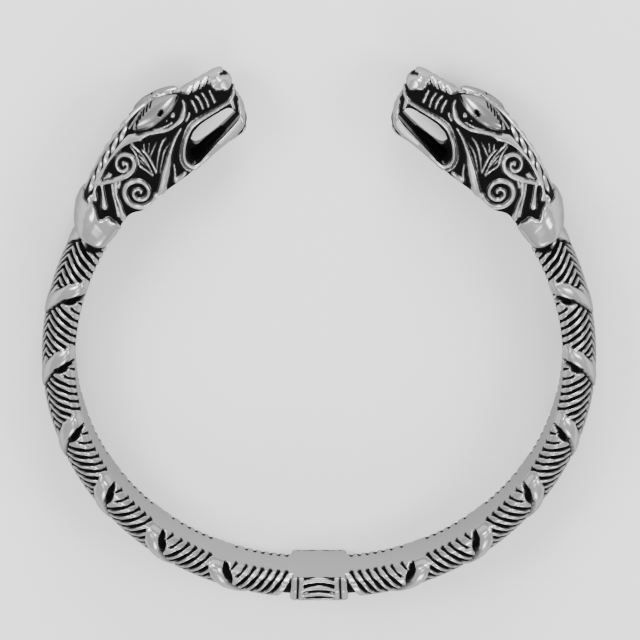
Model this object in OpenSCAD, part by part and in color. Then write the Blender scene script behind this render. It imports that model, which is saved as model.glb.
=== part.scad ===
// Viking arm ring: an open cuff of cast metal with an animal head at each end.
// It lies on its side: the ring's plane is level, the heads face each other at +Y and the block is at -Y.

/* [Ring] */
// Inner radius of the lower half, the block's side
lower_r = 30.35; // [26:0.05:36]
// Half of the short straight stretch inside the block
flat_half = 1.8; // [1:0.1:3]
// Inner radius of the arms above the widest line
upper_r = 35; // [31:0.5:42]
// Inner length of one arm, from the block's middle to the collar
arm_len = 66.8; // [60:0.2:72]

/* [Band] */
// Width of the band across the ring's plane
band_w = 8.3; // [6:0.1:9.5]
// Thickness of the band from its flat inner face to its crest
band_t = 4.45; // [3.6:0.05:5.5]
// Length of one panel of ribs with its strap
panel_len = 9.52; // [8.6:0.02:12]
// Distance from the block's middle to the first strap
first_strap = 12.2; // [11:0.1:14]
// Distance between two ribs
rib_pitch = 1.12; // [0.9:0.01:1.3]
// Depth of the grooves between the ribs
rib_depth = 0.45; // [0.2:0.01:0.6]
// Width of one strap along the band
strap_w = 2.2; // [1.4:0.1:2.6]
// Height of a strap above the ribs
strap_h = 0.25; // [0.15:0.05:0.5]
// Depth of the dark hollow beside each strap
hollow_depth = 0.75; // [0.4:0.05:1.1]

/* [Block] */
// Length of the block along the band
block_len = 7.3; // [5:0.1:8.5]
// Width of the block across the ring's plane
block_w = 9; // [8.5:0.1:10.5]
// Thickness of the block from its inner face to its crest
block_t = 4.75; // [4:0.05:6]
// Depth of the slots cut in the block
slot_depth = 0.5; // [0.2:0.05:0.8]
// Width of a slot in the block
slot_w = 0.62; // [0.4:0.02:0.8]

/* [Heads] */
// Length of a head from the collar's rim to the nose
head_len = 28; // [24:0.5:32]
// Height of a head from its flat underside to its brow
head_h = 11.2; // [9.5:0.1:13]
// Width of a head across the cheeks
head_w = 10.6; // [9.5:0.1:12]
// Angle by which a head turns in from the line of its arm
head_turn = 20; // [12:1:26]
// Height of the carved lines above the head's ground
relief = 0.42; // [0.2:0.02:0.6]
// Width of a carved line
line_w = 0.75; // [0.5:0.05:0.95]

/* [Seats] */
// How far a collar stands proud of the band
rim_proud = 0.3; // [0.1:0.05:0.5]
// Length of the tenon that enters a collar
tenon_len = 3; // [2:0.1:4]
// Width of the tenon across the ring's plane
tenon_w = 4; // [3:0.1:5]
// Thickness of the tenon
tenon_t = 2; // [1.4:0.1:2.4]
// Gap between the band and a head all round their seat
seat_gap = 0.06; // [0.03:0.01:0.15]

/* [Hidden] */

METAL = "silver";
DEGREES = 180 / PI;
quarter_len = lower_r * PI / 2;
side_s = flat_half + quarter_len;

// How far the arm has turned at the inner length s
function turn(s) =
    s <= flat_half ? 0 :
    s <= side_s ? (s - flat_half) / lower_r * DEGREES :
    90 + (s - side_s) / upper_r * DEGREES;

// Point of the inner face at the length s, and the outward direction there
function inner_point(s) =
    s <= flat_half ? [s, -lower_r] :
    s <= side_s ? [flat_half, 0] + lower_r * [sin(turn(s)), -cos(turn(s))] :
    [flat_half + lower_r - upper_r, 0] + upper_r * [sin(turn(s)), -cos(turn(s))];
function outward(s) = [sin(turn(s)), -cos(turn(s))];

// A place of the right arm: length s, height z above the ring's plane, r out from the inner face
function on_arm(s, z, r) =
    let (p = inner_point(abs(s)) + r * outward(abs(s)))
    [s < 0 ? -p.x : p.x, p.y, z];

// Sections of the band and the block, from the flat face's edge to the crest: shares of the half width
// and of the thickness, the outward direction there, and how far the ribs lean towards the head as a
// share of the band's width
Z = 0;
R = 1;
NZ = 2;
NR = 3;
LEAN = 4;
BAND_SECTION = [
    [0.74, 0.00, 0.80, -0.20, 0.00],
    [1.00, 0.25, 1.00, 0.00, 0.04],
    [0.88, 0.62, 0.85, 0.50, 0.15],
    [0.45, 0.90, 0.40, 0.90, 0.27],
    [0.00, 1.00, 0.00, 1.00, 0.17]];
BLOCK_SECTION = [
    [0.92, 0.00, 0.80, -0.20],
    [1.00, 0.09, 1.00, 0.00],
    [0.98, 0.43, 0.95, 0.20],
    [0.82, 0.70, 0.75, 0.65],
    [0.48, 0.89, 0.35, 0.95],
    [0.00, 1.00, 0.00, 1.00]];

// All stations of a closed section, from one flat edge over the crest to the other
function stations(section) =
    let (last = len(section) - 1)
    [for (i = [0 : 2 * last]) i <= last ? [i, 1] : [2 * last - i, -1]];

// A place on a section's surface at a whole or part station, raised by h
function mixed(section, q, column) =
    let (i = min(floor(q), len(section) - 2), part = q - i)
    section[i][column] * (1 - part) + section[i + 1][column] * part;
function on_skin(section, width, thick, s, q, side, h) =
    on_arm(s,
        side * (mixed(section, q, Z) * width / 2 + mixed(section, q, NZ) * h),
        mixed(section, q, R) * thick + mixed(section, q, NR) * h);
function on_band(s, q, side, h) = on_skin(BAND_SECTION, band_w, band_t, s, q, side, h);
function on_block(s, q, side, h) = on_skin(BLOCK_SECTION, block_w, block_t, s, q, side, h);

// A closed skin through rings of equally many points, the first and the last ring planar. The points of
// a ring go round clockwise as seen from the end of the loft.
module loft(rings) {
    n = len(rings[0]);
    last = len(rings) - 1;
    polyhedron(
        points = [for (ring = rings) each ring],
        faces = [
            [for (i = [0 : n - 1]) i],
            [for (i = [n - 1 : -1 : 0]) last * n + i],
            for (j = [0 : last - 1], i = [0 : n - 1])
                let (k = (i + 1) % n)
                each [[j * n + i, (j + 1) * n + i, (j + 1) * n + k],
                      [j * n + i, (j + 1) * n + k, j * n + k]]],
        convexity = 10);
}

// Grooves between the ribs of one arm. The ribs of a panel start just beyond its strap, and the first
// panel, beside the block, has a few more that start inside the block.
first_rib = 0.13 * panel_len;
rib_reach = 0.66 * panel_len;
ribs = floor((rib_reach - first_rib) / rib_pitch) + 1;
extra_ribs = ceil((panel_len + first_rib - first_strap + block_len / 2) / rib_pitch) + 2;
panels = ceil((arm_len - first_strap) / panel_len) + 1;
grooves = [
    for (j = [0 : panels - 1], i = [j == 0 ? -extra_ribs : 0 : ribs - 1])
        let (s = first_strap + (j - 1) * panel_len + first_rib + i * rib_pitch)
        if (s > rib_pitch && s < arm_len) [s, i == 0 && j > 0]];

// Rings of an arm: place, share of the groove's depth, share of the ribs' lean. The arm runs on past its
// end, where it is cut off square.
run_on = 0.6 * band_w;
arm_rings = concat(
    [[0, 0, 0]],
    [for (g = grooves) each concat(
        g[1] ? [[g[0] - rib_pitch / 2, 0, 1]] : [],
        [[g[0], 1, 1], [g[0] + rib_pitch / 2, 0, 1]])],
    [[arm_len + run_on, 0, 0]]);

module ribbed_arm() {
    loft([for (ring = arm_rings) [for (t = stations(BAND_SECTION))
        on_band(ring[0] + ring[2] * BAND_SECTION[t[0]][LEAN] * band_w, t[0], t[1], -ring[1] * rib_depth)]]);
}

// Straps: station of the band's section, place of the middle as a share of a panel, share of the width
STRAP = [
    [0.0, 0.03, 0.35],
    [1.0, 0.05, 0.70],
    [2.0, -0.03, 1.00],
    [3.0, -0.26, 1.00],
    [4.0, -0.44, 0.80]];
strap_root = 1.2 * rib_depth;

module strap(s) {
    loft([for (t = stations(STRAP))
        let (row = STRAP[t[0]], mid = s + row[1] * panel_len, half = row[2] * strap_w / 2)
        [for (edge = [[half, -strap_root], [half / 2, strap_h], [-half / 2, strap_h], [-half, -strap_root]])
            on_band(mid + edge[0], row[0], t[1], edge[1])]]);
}

// The dark hollow on the block's side of a strap: station, then as shares of a panel its place and half
// its length, then the share of its depth
HOLLOW = [
    [0.05, -0.035, 0.020, 0.4],
    [0.90, -0.065, 0.065, 1.0],
    [2.00, -0.150, 0.010, 0.3]];

module hollow(s, side) {
    loft([for (row = HOLLOW)
        let (mid = s + row[1] * panel_len, half = side * row[2] * panel_len)
        [for (edge = [[half, strap_h], [-half, strap_h], [0, -row[3] * hollow_depth]])
            on_band(mid + edge[0], row[0], side, edge[1])]]);
}

// The space past the end of an arm, where its collar begins
module past_the_arm(size) {
    translate(rim_point) rotate(turn(arm_len))
        translate([-seat_gap, -size / 2, -size / 2]) cube(size);
}

// The tenon is a straight tongue in the middle of the band's thickness
module tenon(gap) {
    translate(rim_point) rotate(turn(arm_len))
        translate([-2 * seat_gap, -(band_t + tenon_t) / 2 - gap, -tenon_w / 2 - gap])
            cube([tenon_len + 2 * seat_gap + gap, tenon_t + 2 * gap, tenon_w + 2 * gap]);
}

module arm() {
    difference() {
        union() {
            ribbed_arm();
            for (j = [0 : panels - 1]) strap(first_strap + j * panel_len);
        }
        for (j = [0 : panels - 1], side = [-1, 1])
            if (first_strap + j * panel_len < arm_len) hollow(first_strap + j * panel_len, side);
        past_the_arm(4 * band_w);
    }
    tenon(0);
}

// A cut between two places on the block, each a length along it and a station of its section
module block_cut(places, side, width, depth) {
    hull() for (place = places)
        translate(on_block(place[0], place[1], side, width / 2 - depth)) cube(width, center = true);
}

// Arched slots in the block: station of the block's section at the crown and at the ends
SLOTS = [[1.4, 1.7], [2.4, 2.7], [3.2, 3.5], [4.1, 4.4]];
slot_crown = 0.12 * block_len;
slot_reach = 0.26 * block_len;
// A thin line is cut in the block near each end
END_LINE = [0.7, 2, 3, 4, 5];
end_line_w = 0.35;
end_line_s = 0.37 * block_len;

module block() {
    difference() {
        loft([for (s = [-block_len / 2, 0, block_len / 2]) [for (t = stations(BLOCK_SECTION))
            on_block(s, t[0], t[1], 0)]]);
        for (side = [-1, 1]) {
            for (slot = SLOTS) {
                block_cut([[-slot_crown, slot[0]], [slot_crown, slot[0]]], side, slot_w, slot_depth);
                for (end = [-1, 1])
                    block_cut([[end * slot_crown, slot[0]], [end * slot_reach, slot[1]]], side, slot_w,
                        slot_depth);
            }
            for (end = [-1, 1], i = [0 : len(END_LINE) - 2])
                block_cut([[end * end_line_s, END_LINE[i]], [end * end_line_s, END_LINE[i + 1]]], side,
                    end_line_w, end_line_w / 2);
        }
    }
}

module band() {
    color(METAL) translate(ring_place) {
        block();
        arm();
        mirror([1, 0, 0]) arm();
    }
}

// Head sections from the collar's rim to the nose: u and v of the top, u and v of the underside,
// the half width, and the widths of the underside and of the brow. u is a share of the head's length,
// v of its height, the half width of the head's, and the other widths are shares of the half width.
rim_h = band_t + rim_proud;
rim_u = -rim_h * sin(head_turn) / head_len;
rim_v = rim_h * cos(head_turn) / head_h;
rim_half = (band_w + 2 * rim_proud) / head_w;
HEAD_SECTIONS = [
    [rim_u, rim_v, 0.000, 0.00, rim_half, 0.74, 0.40],
    [-0.020, 0.54, 0.035, 0.00, 0.94, 0.68, 0.45],
    [0.070, 0.67, 0.130, 0.06, 0.96, 0.62, 0.40],
    [0.100, 0.69, 0.160, 0.12, 0.86, 0.62, 0.40],
    [0.200, 0.80, 0.220, 0.12, 0.92, 0.62, 0.38],
    [0.320, 0.90, 0.310, 0.07, 0.98, 0.62, 0.38],
    [0.430, 0.97, 0.420, 0.09, 1.00, 0.58, 0.44],
    [0.570, 1.00, 0.560, 0.07, 0.98, 0.50, 0.50],
    [0.700, 0.97, 0.690, 0.06, 0.80, 0.52, 0.52],
    [0.765, 0.85, 0.770, 0.06, 0.62, 0.60, 0.55],
    [0.880, 0.81, 0.880, 0.08, 0.54, 0.66, 0.60],
    [0.950, 0.78, 0.940, 0.20, 0.50, 0.60, 0.60],
    [0.990, 0.71, 0.980, 0.42, 0.38, 0.60, 0.60],
    [1.000, 0.66, 0.995, 0.50, 0.26, 0.70, 0.70]];
// Points of one side of a head's section, from the underside to the brow
function side_points(foot, brow) =
    [[foot, 0], [(1.1 + foot) / 2, 0.10], [1, 0.36], [0.97, 0.62], [(1.1 + brow) / 2, 0.86], [brow, 1]];

// One ring of a head's core. The ground for the carving has its sides moved out by grow.
function head_ring(row, grow) =
    let (top = [row[0] * head_len, row[1] * head_h], foot = [row[2] * head_len, row[3] * head_h],
         points = side_points(row[5], row[6]), last = len(points) - 1,
         shrink = grow > 0 ? 0.02 : 0)
    [for (i = [0 : 2 * last + 1])
        let (share = points[i <= last ? i : 2 * last + 1 - i], side = i <= last ? -1 : 1,
             p = foot + (top - foot) * (shrink + (1 - 2 * shrink) * share[1]))
        [p.x, p.y, side * (share[0] * row[4] * head_w / 2 + grow)]];

module head_core(grow) {
    loft([for (row = HEAD_SECTIONS) head_ring(row, grow)]);
}

// A carved line as a ribbon. Its points are hundredths of the head's length and height, then the share of
// the line's width.
function head_place(p) = [p[0] * head_len / 100, p[1] * head_h / 100];
function unit(v) = v / norm(v);
function ribbon_edge(points, side) =
    let (last = len(points) - 1, at = [for (p = points) head_place(p)])
    [for (i = [0 : last])
        let (along = unit(at[min(i + 1, last)] - at[max(i - 1, 0)]))
        at[i] + side * points[i][2] * line_w / 2 * [-along.y, along.x]];
module carved(points) {
    left = ribbon_edge(points, 1);
    right = ribbon_edge(points, -1);
    polygon(concat(left, [for (i = [len(right) - 1 : -1 : 0]) right[i]]));
}
// A leaf is the hull of round spots, each a place and a share of the line's width
module leaf(spots) {
    hull() for (p = spots) translate(head_place(p)) circle(d = p[2] * line_w, $fn = 5);
}

// Spirals that wind out from an eye: the eye's place, first and last radius as hundredths of the head's
// height, angle of the end, turns, share of the line's width
SPIRALS = [
    [33, 35, 2, 24.5, -72, 2.1, 0.95],
    [37.5, 73, 1.5, 11, -90, 1.4, 0.75]];
function spiral(row) =
    let (turns = row[5], steps = ceil(turns * 8))
    [for (i = [0 : steps])
        let (t = i / steps, a = row[4] + (1 - t) * turns * 360, r = row[2] + (row[3] - row[2]) * t)
        [row[0] + r * cos(a) * head_h / head_len, row[1] + r * sin(a), row[6]]];

// Lines of the carving
LINES = [
    // jaw line that winds into the big spiral
    [[67, 59, 0.9], [56, 44, 1.5], [49, 33, 1.7], [42, 20, 1.5]],
    // band from the collar under the mane to the eye's surround
    [[15, 63, 1.3], [20, 75, 1.5], [28, 84, 1.4], [38, 88, 1.5], [47, 86, 1.6], [58, 76, 1.2],
     [68, 68, 1.0], [74, 70, 1.0], [75.5, 80, 0.8]],
    // tail of the small spiral
    [[19, 71, 1.1], [28, 67, 1.1], [38, 65, 1.1]],
    // locks behind the collar
    [[22, 67, 1.1], [15.5, 45, 1.7]],
    [[26, 61.5, 0.9], [21, 47, 0.9], [18, 26, 1.4]],
    // ribs of the cheek, which meet behind the mouth
    [[46, 77, 0.8], [46, 57, 1.0], [45.5, 40, 0.8]],
    [[53, 72, 0.7], [46, 39, 0.7]],
    [[60, 68, 0.7], [46.5, 36, 0.7]],
    // throat
    [[54, 30, 0.6], [48, 16, 1.0]],
    // ribs of the snout
    [[79.5, 74, 0.8], [77.6, 60, 0.6]],
    [[82.5, 73, 0.8], [80.5, 57, 0.6]],
    [[86, 71, 0.8], [83.5, 55, 0.6]],
    [[89.5, 68, 0.8], [87.5, 54, 0.6]],
    // lip over and round the mouth
    [[97, 50, 0.8], [92, 47.5, 1.0], [81, 50.5, 1.0], [74, 51.5, 1.1], [69, 49.5, 1.2],
     [63.5, 41, 1.3], [59.5, 28, 1.3], [58, 15, 1.3]]];
// Locks of the mane, by the root and the tip of each and the share of the line's width there
MANE = [
    [[13, 70, 1.2], [18.5, 75, 0.6]],
    [[20, 78, 1.2], [25.5, 83, 0.6]],
    [[28, 85.5, 1.2], [33.5, 90.5, 0.6]],
    [[36.5, 90.5, 1.2], [42, 95, 0.6]]];

module carving() {
    for (line = LINES) carved(line);
    for (row = SPIRALS) carved(spiral(row));
    for (lock = MANE) leaf(lock);
}

// The leaf-shaped brow over each eye: u and v in hundredths, then shares of the head's width for the
// distance from the middle and for the size
BROW = [[50, 91, 0.30, 0.12], [63, 91, 0.30, 0.28], [75, 84, 0.20, 0.14]];

module brow(side) {
    hull() for (p = BROW)
        translate([p[0] * head_len / 100, p[1] * head_h / 100, side * p[2] * head_w])
            sphere(d = p[3] * head_w, $fn = 8);
}

// Opening between the jaws, right through the head
MOUTH = [[68.5, 42], [71, 44.5], [76, 44.5], [84, 41], [90, 35.5], [91.5, 26], [90.5, 18], [81, 13],
         [70, 11], [62, 12], [61, 21], [64, 35]];

module mouth() {
    linear_extrude(2 * head_w, center = true) polygon([for (p = MOUTH) head_place(p)]);
}

// Nostrils are cut from the front: u, v and distance from the middle as shares, then the size
NOSTRIL = [[0.965, 0.68, 0.26, 0.06], [0.995, 0.64, 0.08, 0.08]];

module nostril(side) {
    hull() for (p = NOSTRIL)
        translate([p[0] * head_len, p[1] * head_h, side * p[2] * head_w]) sphere(d = p[3] * head_w, $fn = 5);
}

// The head in its own frame: the collar's inner rim at the origin, the nose along +X, the brow along +Y
module head_shape() {
    difference() {
        union() {
            head_core(0);
            intersection() {
                head_core(relief);
                linear_extrude(2 * head_w, center = true) carving();
            }
            for (side = [-1, 1]) brow(side);
        }
        mouth();
        for (side = [-1, 1]) nostril(side);
    }
}

// The rim's inner corner of the right head, in the ring's frame
rim_point = concat(inner_point(arm_len), 0);
head_angle = turn(arm_len) + head_turn;

module head_right() {
    color(METAL) translate(ring_place) difference() {
        translate(rim_point) rotate(head_angle) mirror([0, 1, 0]) head_shape();
        tenon(seat_gap);
    }
}

module head_left() {
    mirror([1, 0, 0]) head_right();
}

// The ring rests on the widest points of its heads, and its box is centred on the origin
function head_top(row) =
    rim_point.y + row[0] * head_len * sin(head_angle) - row[1] * head_h * cos(head_angle);
ring_top = max([for (row = HEAD_SECTIONS) head_top(row)]);
ring_place = [0, (lower_r + block_t - ring_top) / 2, head_w / 2 + relief];

band();
head_left();
head_right();
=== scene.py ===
"""Viking arm ring: an open cuff of cast metal with two facing beast heads, built over its frame."""

import math

import bpy
import numpy as np
from bpy.props import FloatProperty, FloatVectorProperty, IntProperty, PointerProperty
from mathutils import Matrix, Vector


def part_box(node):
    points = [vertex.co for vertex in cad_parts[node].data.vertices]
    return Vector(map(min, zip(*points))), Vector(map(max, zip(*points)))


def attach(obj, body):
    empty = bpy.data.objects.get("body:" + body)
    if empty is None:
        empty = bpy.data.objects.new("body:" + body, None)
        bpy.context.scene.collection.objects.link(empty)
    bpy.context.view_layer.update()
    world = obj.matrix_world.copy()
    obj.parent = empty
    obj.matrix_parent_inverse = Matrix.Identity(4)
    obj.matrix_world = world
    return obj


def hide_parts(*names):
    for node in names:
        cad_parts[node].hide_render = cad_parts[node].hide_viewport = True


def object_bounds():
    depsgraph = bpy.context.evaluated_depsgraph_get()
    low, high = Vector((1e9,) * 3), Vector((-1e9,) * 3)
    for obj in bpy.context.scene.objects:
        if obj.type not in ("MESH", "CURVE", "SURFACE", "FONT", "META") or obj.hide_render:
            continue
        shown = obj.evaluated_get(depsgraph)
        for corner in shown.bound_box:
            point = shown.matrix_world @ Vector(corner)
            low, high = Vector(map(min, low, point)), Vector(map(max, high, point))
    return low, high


bl_info = {
    "name": "Viking arm ring",
    "version": (1, 0, 0),
    "blender": (4, 5, 0),
    "location": "View3D > Sidebar > Arm ring",
    "description": "Builds a viking arm ring with beast heads, its finishes and its stage",
    "category": "Add Mesh",
}

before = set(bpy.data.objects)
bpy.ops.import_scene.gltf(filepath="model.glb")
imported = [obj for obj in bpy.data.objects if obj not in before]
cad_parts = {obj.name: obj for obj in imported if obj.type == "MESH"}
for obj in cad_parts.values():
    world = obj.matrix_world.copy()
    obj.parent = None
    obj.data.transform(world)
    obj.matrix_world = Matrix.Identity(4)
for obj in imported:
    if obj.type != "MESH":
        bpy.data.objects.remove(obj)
CAD_LOW, CAD_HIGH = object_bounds()
MM = 0.001

# Sizes are in millimetres up to the finishes, and most were measured on the photograph.

# Inner line of the ring: a short flat at the block, an arc on each side of it, and flatter arcs above
FLAT_HALF = 1.8
LOWER_RADIUS = 30.35
UPPER_RADIUS = 35.0
LOWER_END = FLAT_HALF + LOWER_RADIUS * math.pi / 2
# Distances along that line from the block's middle: the arms' hidden start, and the collars' rims
ARM_START = 0.3
ARM_LENGTH = 66.8
# How far the heads turn inwards from the arms' direction
HEAD_TURN = math.radians(20.0)
BLOCK_THICKNESS = 4.75
# Centre of the lower arcs and height of the ring's plane, from the frame
RING_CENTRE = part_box("band")[0].y / MM + LOWER_RADIUS + BLOCK_THICKNESS
MID_HEIGHT = (CAD_LOW.z + CAD_HIGH.z) / 2 / MM

# Half of the band's section: across the ring's plane, and out from the inner face. A station tells a place on
# it: 0 is the first of these points, 1 the second and so on, and the inner face lies below 0.
BAND_POINTS = [(3.0, 0.0), (4.15, 1.1), (3.65, 2.75), (1.87, 4.0), (0.0, 4.45)]
STATIONS = np.arange(len(BAND_POINTS))
# How far the ribs, and the rings of points, lean away from the block at each station
RIB_LEAN = [0.0, 0.8, 1.5, 2.4, -0.2]
RING_LEAN = [0.0, 0.8, 1.5, 2.2, 1.3]
# Distances along the arm between which the rings of points take on that lean, and lose it again
LEAN_COMES = (0.5, 3.5)
LEAN_GOES = (ARM_LENGTH - 3.8, ARM_LENGTH - 0.8)

# Panels of ribs between the straps, and the straps' places; the first place is only where the panel beside
# the block starts. Then come the grooves' places from each panel's start.
FIRST_STRAP = 12.35
PANEL = 9.4
PANELS = 7
STRAPS = [FIRST_STRAP + PANEL * k for k in range(-1, PANELS)]
FIRST_RIB = 1.35
RIB_PITCH = 1.07
RIBS = 5
# Groove between two ribs: station, half width, depth
GROOVE = [
    (-0.36, 0.04, 0.05), (-0.24, 0.22, 0.1), (-0.12, 0.31, 0.16), (0.0, 0.31, 0.24), (0.12, 0.26, 0.3),
    (0.4, 0.15, 0.3), (0.8, 0.21, 0.4), (1.3, 0.31, 0.5), (2.0, 0.36, 0.5), (3.0, 0.37, 0.45),
    (4.0, 0.33, 0.4)]
GROOVE_STATIONS = (-0.4, 4.0)
GROOVE_FADE = 0.12
GROOVE_BANK = 0.08
GROOVE_ROUND = 0.75
# Further grooves of each panel: distance before its end, share of the full width, first and last station
FURTHER_GROOVES = [
    (-0.28, 1.0, 1.5, 4.0), (0.8, 1.0, 1.7, 4.0), (1.87, 1.0, 2.2, 4.0), (2.65, 0.8, -0.4, 1.3),
    (1.25, 0.8, -0.4, 0.6)]

# Smooth strap: station, place of its middle along the band, half width; then the soft share of that width
STRAP = [(0.0, 1.1, 0.75), (1.0, 1.3, 1.0), (2.0, 0.1, 1.15), (3.0, -2.0, 1.15), (4.0, -3.6, 0.95)]
STRAP_EDGE = 0.08
# Stations between which the strap rises, and between which it loses a share of its height
STRAP_RISES = (0.1, 1.1)
STRAP_SINKS = (2.4, 4.0)
STRAP_LOSS = 0.6
# Dark lines beside a strap: side, half width, stations where the line begins to come and to go
STRAP_LINES = [(-1, 0.3, 1.6, 5.0), (1, 0.22, 1.9, 2.9)]
STRAP_LINE_GAP = 0.08
STRAP_LINE_BANK = 0.16
STRAP_LINE_FADE = 0.4
STRAP_LINE_DEPTH = 0.35
# Dark hollow under each strap: station, place of its middle, half width
HOLLOW = [
    (-0.05, 0.25, 0.05), (0.15, 0.1, 0.3), (0.6, -0.1, 0.48), (1.0, -0.35, 0.6), (1.5, -0.85, 0.5),
    (2.05, -1.45, 0.04)]
HOLLOW_COMES = (-0.1, -0.04)
HOLLOW_GOES = (2.0, 2.08)
HOLLOW_BANK = (-0.06, 0.26)
HOLLOW_INK = (-0.08, 0.04)

# Dark wedge beside the block: station of its point, gap there, widening per station, depth
WEDGE_STATION = 0.45
WEDGE_GAP = 0.05
WEDGE_GROWTH = 0.62
WEDGE_DEPTH = 0.5
WEDGE_FADE = 0.1
# Strip before the collar, cut in shallowly and painted black as the shadow under the collar's rim: width,
# narrowing per station, depth, stations where it comes and goes
SHADOW_STRIP_WIDTH = 0.7
SHADOW_STRIP_NARROWING = 0.15
SHADOW_STRIP_DEPTH = 0.4
SHADOW_STRIP_COMES = (0.1, 0.3)
SHADOW_STRIP_GOES = (1.9, 2.5)
END_BANK = 0.12
# The arm's skin sinks a little inside the block, and is marked from the block and the inner face's rim on
SINK_DEPTH = 0.25
LEAVES_BLOCK = (2.4, 3.2)
LEAVES_INNER_FACE = (-0.36, -0.28)
SATIN_ENDS = (-0.1, 0.05)

# Block at the back: half its length, and half its section across and out
BLOCK_HALF_LENGTH = 3.65
BLOCK_SECTION = [(4.55, 0.0), (4.68, 0.25), (4.55, 2.0), (3.8, 3.35), (2.3, 4.3), (0.0, BLOCK_THICKNESS)]
BLOCK_ROUND = 0.5
# Grid round the block: lowest and highest place along, out and across
BLOCK_LOW = (-BLOCK_HALF_LENGTH - 0.5, -0.6, -5.1)
BLOCK_HIGH = (BLOCK_HALF_LENGTH + 0.5, 5.4, 5.1)
# Arched slots, told by the distance over the block's skin from its inner face: place of the ends, and how far
# the middle arches back
BLOCK_ARCS = [(0.08, 0.35), (1.3, 0.4), (2.35, 0.4), (3.5, 0.4), (4.7, 0.4), (5.9, 0.4)]
ARC_REACH = 2.0
ARC_HALF_WIDTH = 0.3
ARC_NARROWING = 0.12
ARC_BANK = (-0.08, 0.12)
# Thin line near each end of the block
BLOCK_LINE_INSET = 0.9
BLOCK_LINE_HALF_WIDTH = 0.1
BLOCK_LINE_DEPTH = 0.15
# That distance turns over the block's shoulder here
SHOULDER = 3.7
SHOULDER_TURNS = (2.6, 3.4)
# The block's marks lie this far across or out. Over these distances out they deepen, and the inner face's
# satin ends. Then comes the soft edge of their black, and the distance that it is worked out within.
MARKS_ACROSS = 4.1
MARKS_OUT = 2.4
MARKS_DEEPEN = (-0.05, 0.4)
BLOCK_SATIN_ENDS = (0.03, 0.12)
BLOCK_INK_EDGE = (0.1, 0.02)
BLOCK_INK_LIMIT = 1.0

# Head, in its own frame: u from the collar's rim to the snout, v from the throat to the brow, w sideways.
# Its outline from the side runs over the collar's crest to the snout, and back along the jaw.
SILHOUETTE = [
    (-9.0, 4.0), (-1.66, 4.3), (-1.2, 5.2), (-0.45, 5.96), (0.64, 6.9), (1.6, 7.35), (2.4, 7.5), (4.8, 8.6),
    (7.3, 9.6), (9.1, 10.2), (11.4, 10.8), (12.9, 11.1), (14.9, 11.4), (16.9, 11.4), (18.5, 11.2),
    (20.2, 10.6), (21.2, 10.0), (21.9, 9.66), (23.15, 9.5), (24.9, 9.2), (26.6, 8.9), (27.6, 8.45),
    (28.1, 7.6), (28.0, 6.75), (27.6, 5.6), (27.3, 4.8), (26.95, 3.9), (26.6, 3.1), (26.2, 1.9),
    (25.8, 0.7), (24.8, 0.0), (23.6, -0.15), (22.0, 0.1), (19.5, 0.2), (17.0, 0.35), (15.0, 0.6),
    (13.0, 0.85), (10.0, 1.0), (8.5, 0.8), (7.4, 0.85), (6.4, 1.35), (5.6, 1.4), (4.6, 1.15), (3.1, 0.5),
    (1.3, 0.1), (0.0, 0.0), (-9.0, -0.1)]
# How many of those points, from the first on, are the collar's crest, and from the last back, its foot
COLLAR_CREST = 9
COLLAR_FOOT = 4
# How square the collar's section is above and below its middle line, from 2 for an ellipse, and the most that
# its level reaches
CREST_SQUARENESS = 2.4
FOOT_SQUARENESS = 3.6
COLLAR_LIMIT = 9.0
# Half width along the head
HALF_WIDTH = [
    (-2.0, 4.95), (-0.6, 5.35), (0.8, 5.6), (2.0, 5.65), (3.2, 5.4), (4.0, 5.1), (6.0, 5.2), (9.0, 5.5),
    (12.0, 5.7), (15.0, 5.65), (17.0, 5.35), (18.5, 4.9), (19.5, 4.45), (20.5, 3.85), (21.5, 3.3),
    (23.0, 2.95), (25.0, 2.7), (26.5, 2.45), (27.5, 2.15), (28.2, 1.75)]
# Half width of the lower jaw, and the heights between which it passes into the width above
JAW_WIDTH = [(13.0, 5.7), (15.5, 5.2), (17.0, 4.3), (19.0, 3.4), (21.0, 2.9), (26.5, 2.5), (28.2, 1.75)]
JAW_TO_CHEEK = (2.0, 6.0)
# Rounding of the upper edge along the head and of the lower edge, and the heights between which they change
TOP_ROUND = [
    (-2.0, 4.6), (2.0, 5.2), (3.5, 5.0), (6.0, 4.5), (12.0, 4.8), (18.0, 4.2), (21.0, 3.0), (24.0, 2.4),
    (28.0, 1.8)]
FOOT_ROUND = 0.8
FOOT_TO_TOP = (2.0, 7.0)
# How much the side curves in above and below its middle line, along the head
BARREL = [(-2.0, 0.2), (2.5, 0.2), (4.5, 0.08), (20.0, 0.05), (28.0, 0.1)]
BARREL_MIDDLE = 3.4
BARREL_REACH = 3.8
# Places along the head between which the collar's section passes into the head's
COLLAR_TO_HEAD = (3.0, 5.0)
# Rounding of the collar's rim
RIM_ROUND = 0.9
# Grid round the head: lowest and highest u, v and w
HEAD_LOW = (-2.6, -0.5, -6.1)
HEAD_HIGH = (28.8, 12.2, 6.1)
# Lowest and highest corner of the drawing of its side, in u and v, and of its top, in u and w
SIDE_SHEET = ((-4.0, -1.0), (29.0, 12.5))
TOP_SHEET = ((-4.0, -0.2), (29.0, 6.5))

# Raised lines stand this high and are this wide at their banks
RELIEF = 0.45
STROKE_BANK = 0.3
# The top's drawing takes over from the side's as the skin turns upwards, and the foot's as it turns downwards
TURNS_UP = (0.77, 0.86)
TURNS_DOWN = (0.9, 0.97)
# Plain bright strip along the foot: its middle along the head, half its length and half its width
FOOT_STRIP_MIDDLE = 16.5
FOOT_STRIP_HALF_LENGTH = 8.5
FOOT_STRIP_HALF_WIDTH = 2.0

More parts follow.
